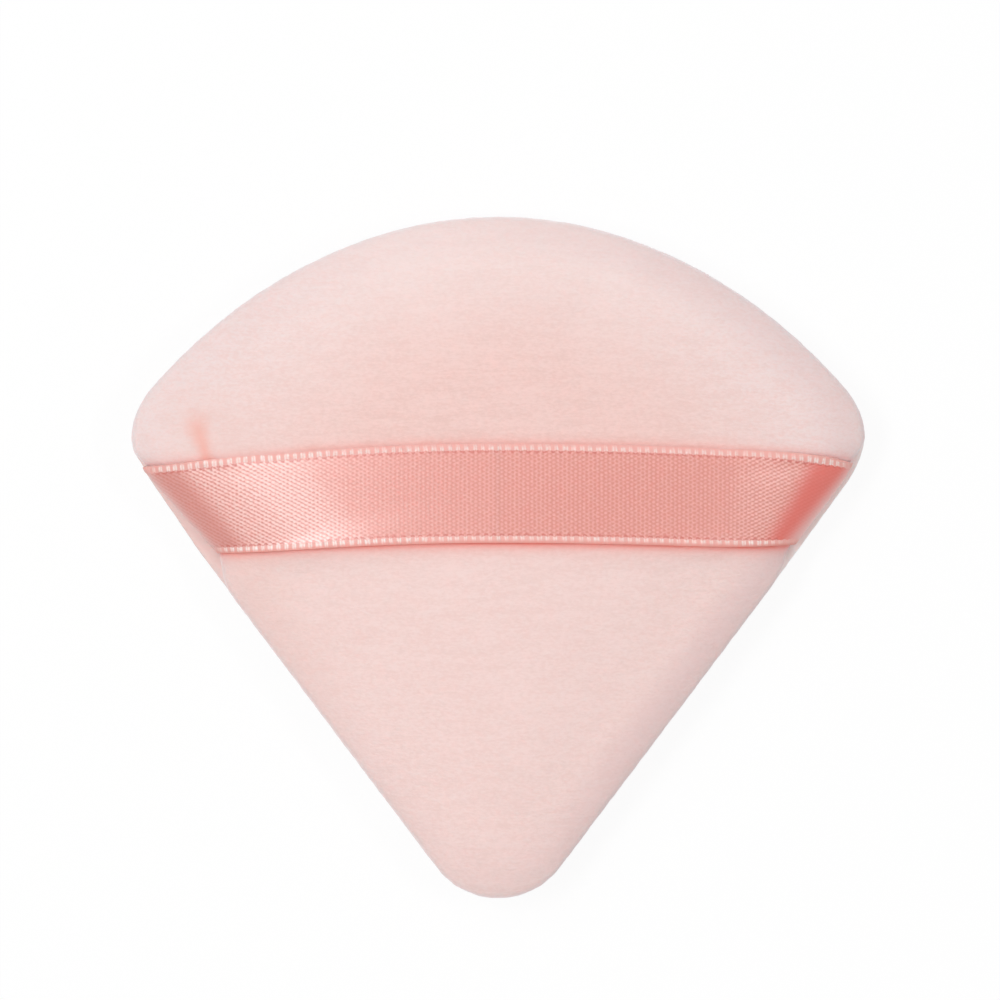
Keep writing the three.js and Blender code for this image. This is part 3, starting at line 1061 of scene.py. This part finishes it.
def velour_finish():
    """Short pale pink pile, its fibres laid sideways, with a painted sheen over the pad's shoulders,
    painted shade where its edge rolls over and in the crease, painted light on the rear's rim, and painted
    shadow with the ribbon's bounced light beside the ribbon."""
    finish = Finish(bpy.data.materials.new("pale_pink_velour"))
    place = finish.place()
    parts = finish.parts(place)
    edge_share = finish.kept_value("edge_share")
    upper = parts["Y"].over(*UPPER_REACH)
    aside = parts["X"].size().over(*ASIDE_REACH)
    rightward = parts["X"].over(*RIGHTWARD_REACH)

    # Fibres, the streaks of their brushing, and a slow nap
    fibre_place = finish.stretched(place, (0.45 / MM, 1 / MM, 1 / MM))
    fibres = finish.noise(fibre_place, scale=4.2, detail=3.0, roughness=0.6)
    streak_place = finish.stretched(place, (0.14 / MM, 1 / MM, 1 / MM), turn=0.1)
    streaks = finish.noise(streak_place, scale=1.5, detail=2.0, roughness=0.5)
    nap = finish.noise(place, scale=0.08 / MM, detail=2.0, roughness=0.5)
    clumps = (0.6 * fibres + 0.25 * streaks + 0.15 * nap).over(0.36, 0.64)
    pile = finish.mix(clumps, PILE_DEEP, PILE_PALE)

    # Paler below the ribbon, and above it a painted sheen over the shoulders, uneven with the pile
    pile = finish.mix((1 - upper) * (0.33 + 0.14 * clumps), pile, LOWER_PILE)
    shoulder = finish.mix(aside, SHOULDER_SHEEN_MIDDLE, SHOULDER_SHEEN_SIDES)
    sheen_share = 0.7 - 0.15 * aside + clumps * (0.2 + 0.3 * aside)
    pile = finish.mix(upper * edge_share.over(0.4, 0.95) * sheen_share, pile, shoulder)

    # Painted shade where the edge rolls over, strongest low on the right, away from the lamps
    edge_shade = edge_share.over(0.82, 0.95) * (1 - 0.6 * edge_share.over(0.95, 1.0))
    pile = finish.mix(edge_shade * (0.1 + rightward * (0.34 - 0.16 * upper)), pile, EDGE_PAINTED_SHADE)
    # Painted light on the rim of the rear, strongest on the right, where it lies in shade
    rear = 1 - parts["Z"].over(SEAM_Z, SEAM_Z + GROOVE_HALF_WIDTH)
    rim = finish.mix(rightward, REAR_RIM_LIGHT_LEFT, REAR_RIM_LIGHT_RIGHT)
    pile = finish.mix(edge_share.over(0.93, 0.98) * rear * 0.9, pile, rim)

    # Painted shade round and along the crease
    around, near = crease_shades(parts)
    pile = finish.mix(around * 0.35, pile, CREASE_SHADE)
    pile = finish.mix(near * 0.65, pile, CREASE_PAINTED_SHADE)
    # Painted shadow under the ribbon's lower edge and a faint one over its upper edge, pink with the light
    # the ribbon bounces
    pile = finish.mix(finish.kept_value("painted_ribbon_shadow"), pile, RIBBON_SHADOW_PINK)

    height = (fibres + 0.8 * streaks) * (0.9 + edge_share.over(0.5, 0.9))
    return finish.shaded({
        "Base Color": pile,
        "Roughness": 1.0,
        "Specular IOR Level": 0.1,
        "Subsurface Weight": 0.25,
        "Subsurface Radius": (1.0, 0.5, 0.45),
        "Subsurface Scale": MM,
        "Sheen Weight": 0.8,
        "Sheen Roughness": 0.45,
        "Sheen Tint": PILE_SHEEN,
        "Normal": finish.bump(height, 0.06 * MM, 0.5),
    })


def satin_finish():
    """Salmon satin between two pale ticked selvedges, with a painted highlight at its left and painted
    shade where its ends turn down to the seams.
    """
    finish = Finish(bpy.data.materials.new("salmon_satin"))
    weave = finish.node("ShaderNodeUVMap", {"uv_map": "weave"})["UV"]
    parts = finish.parts(weave)
    along, across = parts["X"], parts["Y"]
    uneven = finish.noise(weave, scale=1.7, detail=2.0, roughness=0.6)
    grain = finish.noise(weave, scale=3.4, detail=1.0, roughness=0.5)
    out = along.size() - across * math.tan(SIDE_ANGLE)
    leftward = 1 - along.over(-1, 1)

    # Floats of the weave: diagonals that fall at the left and rise at the right, and columns between
    def diagonals(waves):
        return ((along * waves[0] + across * waves[1]) * TURN + 3 * uneven).cosine()

    left = 1 - along.over(*LEFT_WEAVE_REACH)
    right = along.over(*RIGHT_WEAVE_REACH)
    ends = 0.75 * (left + right)
    falling = (0.13 + 0.07 * left) * diagonals(FALLING_WAVES)
    rising = (0.13 - 0.07 * left + 0.09 * right) * diagonals(RISING_WAVES)
    columns = 0.14 * (1 - ends) * (along * (COLUMN_WAVES * TURN) + 2 * uneven).cosine()
    floats = 0.5 + (falling + rising) + columns + 0.4 * (grain - 0.5)

    # The field: its pale floats painted brighter as glints towards both ends, a painted highlight at the
    # left, and painted shade where each end turns down
    glints = floats.over(0.2, 0.85) * (0.5 + 0.65 * ends) * (0.5 + grain)
    field = finish.mix(glints, SATIN_DEEP, SATIN_GLINT)
    field = finish.mix(leftward * out.over(*LIT_REACH) * glints, field, SATIN_LIT)
    turned_right = (along - across * 0.5).over(*RIGHT_TURN_REACH)
    field = finish.mix(turned_right * 0.9, field, RIGHT_TURN_SHADE)
    turned_left = out.over(*LEFT_TURN_REACH) * leftward
    field = finish.mix(turned_left * 0.75, field, LEFT_TURN_SHADE)
    field = finish.mix(out.over(*SEWN_END_REACH) * 0.6, field, SEWN_END_PALE)

    # Ticks of the selvedges, uneven and painted brighter as highlights towards the ends, with a darker row
    # of stitches along their inner side
    half = RIBBON_WIDTH / MM / 2
    from_edge = half - across.size()
    wander = finish.noise(finish.stretched(weave, (1, 0.15, 1)), scale=1.1, detail=2.0, roughness=0.6)
    phase = along * (TURN / (TICK_PITCH / MM)) + across * 0.6 + 5 * wander
    tick = phase.wave()
    strand = 1 - (phase * 3).wave()
    ragged = from_edge + 0.14 * (tick - 0.5) + 0.2 * (grain - 0.5)
    selvedge = 1 - ragged.over(0.64, 0.78)
    bright = leftward * out.over(*LEFT_TICKS_REACH) + (1 - leftward) * out.over(*RIGHT_TICKS_REACH)
    fading = 1 - 0.95 * out.over(*TICKS_FADE_REACH)
    blobs = ragged.over(0.0, 0.6 - 0.3 * bright)
    ticks = tick.over(0.15, 0.7) * (0.5 + 0.5 * strand) * blobs * (0.25 + 1.3 * grain)
    bound = finish.mix(ticks * (0.6 + 0.25 * bright) * fading, SELVEDGE_GROUND, SELVEDGE_TICK)
    # Painted shade where the lower selvedge rounds away
    rounded = (1 - (across + half).over(0, 0.45)) * 0.7
    bound = finish.mix(rounded, bound, SELVEDGE_LOWER_EDGE_SHADE)
    inner_line = ragged.over(0.64, 0.74) * (1 - ragged.over(0.84, 0.96))
    dashes = (1 - tick).over(0.25, 0.65)
    colour = finish.mix(selvedge, field, bound)
    colour = finish.mix(inner_line * dashes * 0.6 * fading, colour, SELVEDGE_STITCH)

    height = floats * (1 - selvedge) * 0.5 + (0.6 * tick + 0.4 * strand) * selvedge
    return finish.shaded({
        "Base Color": colour,
        "Roughness": 0.35 + 0.28 * selvedge,
        "Specular IOR Level": 1.0,
        "Subsurface Weight": 0.3,
        "Subsurface Radius": (1.0, 0.35, 0.3),
        "Subsurface Scale": 0.6 * MM,
        "Sheen Weight": 0.1,
        "Sheen Roughness": 0.4,
        "Normal": finish.bump(height, 0.03 * MM, 0.5),
    })


def foam_finish():
    """Cream foam with fine open cells."""
    finish = Finish(bpy.data.materials.new("cream_foam"))
    cell_values = {"Vector": finish.place(), "Scale": 1.6 / MM}
    cells = finish.node("ShaderNodeTexVoronoi", None, cell_values)["Distance"]
    return finish.shaded({
        "Base Color": finish.mix(cells.over(0.1, 0.5), FOAM_CELL, FOAM_WALL),
        "Roughness": 0.9,
        "Specular IOR Level": 0.2,
        "Normal": finish.bump(cells, 0.2 * MM, 0.7),
    })


def thread_finish():
    """Pale pink sewing thread, twisted from two plies."""
    finish = Finish(bpy.data.materials.new("pink_thread"))
    parts = finish.parts(finish.place())
    ply_width = 0.35 * MM
    ply = ((parts["X"] + parts["Y"] + parts["Z"]) * (TURN / ply_width)).wave()
    return finish.shaded({
        "Base Color": finish.mix(ply, THREAD_HOLLOW, THREAD_PLY),
        "Roughness": 0.6,
        "Sheen Weight": 0.2,
        "Normal": finish.bump(ply, 0.04 * MM, 0.6),
    })


# The scene

def look_down():
    """The camera, straight over the front."""
    data = bpy.data.cameras.new("front")
    data.sensor_width = SENSOR_WIDTH
    data.lens = SENSOR_WIDTH * (CAMERA_HEIGHT - SEAM_Z) / VIEW_WIDTH
    camera = placed("front", data)
    camera.location = (*VIEW_MIDDLE, CAMERA_HEIGHT)
    bpy.context.scene.camera = camera


def softbox(name, location, breadth, depth, power):
    """A soft lamp aimed at the puff."""
    data = bpy.data.lights.new(name, "AREA")
    data.shape = "RECTANGLE"
    data.size = breadth
    data.size_y = depth
    data.energy = power
    lamp = placed(name, data)
    lamp.location = location
    lamp.rotation_mode = "QUATERNION"
    lamp.rotation_quaternion = Vector(location).to_track_quat("Z", "Y")


def light_room():
    """A white room, seen brighter than it lights the puff, and the lamps."""
    scene = bpy.context.scene
    scene.view_settings.view_transform = "Standard"
    scene.world = bpy.data.worlds.new("studio")
    room = Finish(scene.world)
    rays = room.node("ShaderNodeLightPath")
    light = room.node("ShaderNodeBackground", None, {"Color": WHITE, "Strength": ROOM_LIGHT})[0]
    seen = room.node("ShaderNodeBackground", None, {"Color": WHITE})[0]
    mixed = room.node("ShaderNodeMixShader", None, {0: rays["Is Camera Ray"], 1: light, 2: seen})[0]
    room.node("ShaderNodeOutputWorld", None, {0: mixed})
    for lamp in LAMPS:
        softbox(*lamp)


def seen_directly(finish):
    """1 on the rays that show the surface itself, 0 on those that only carry its light."""
    rays = finish.node("ShaderNodeLightPath")
    seen = rays["Is Camera Ray"].math("MAXIMUM", rays["Is Camera Ray"], rays["Is Glossy Ray"])
    return seen.math("MAXIMUM", seen, rays["Is Transmission Ray"])


def lay_floor():
    """A white floor, which keeps the puff's shadow."""
    bm = bmesh.new()
    bmesh.ops.create_grid(bm, x_segments=1, y_segments=1, size=FLOOR_HALF_SIZE)
    floor = placed("floor", made_mesh(bm, "floor"))
    floor.location.z = -FLOOR_DROP
    finish = Finish(bpy.data.materials.new("white_floor"))
    grey = (FLOOR_GREY, FLOOR_GREY, FLOOR_GREY, 1)
    paper = finish.node("ShaderNodeBsdfDiffuse", None, {"Color": grey})[0]
    glow = finish.node("ShaderNodeEmission", None, {"Color": WHITE, "Strength": 1.0})[0]
    share = seen_directly(finish) * FLOOR_GLOW
    mixed = finish.node("ShaderNodeMixShader", None, {0: share, 1: paper, 2: glow})[0]
    finish.node("ShaderNodeOutputMaterial", None, {"Surface": mixed})
    floor.data.materials.append(finish.owner)


def build():
    look_down()
    light_room()
    lay_floor()
    velour = velour_finish()
    satin = satin_finish()
    foam = foam_finish()
    thread = thread_finish()
    skin = remeshed(pad_skin(), SKIN_STEP)
    skin = swollen(skin)
    for name, side in (("front_velour", 1), ("rear_velour", -1)):
        panel = finished(name, velour_panel(name, skin, side), velour, "pad")
        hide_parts(name + "_panel")
    core = finished("foam_filling", foam_mesh(), foam, "pad")
    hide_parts("foam_core")
    for side, name in ((1, "ribbon_right_half"), (-1, "ribbon_left_half")):
        ribbon, length = ribbon_half(name, side, satin)
        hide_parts("ribbon_strap")
        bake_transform(ribbon)
    stitches = finished("closing_stitches", closing_stitches_mesh(), thread, "pad")
    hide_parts("closing_thread")
    for name in ("seam_needle_thread", "seam_bobbin_thread"):
        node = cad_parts[name]
        node.data.materials.clear()
        node.data.materials.append(thread)


build()
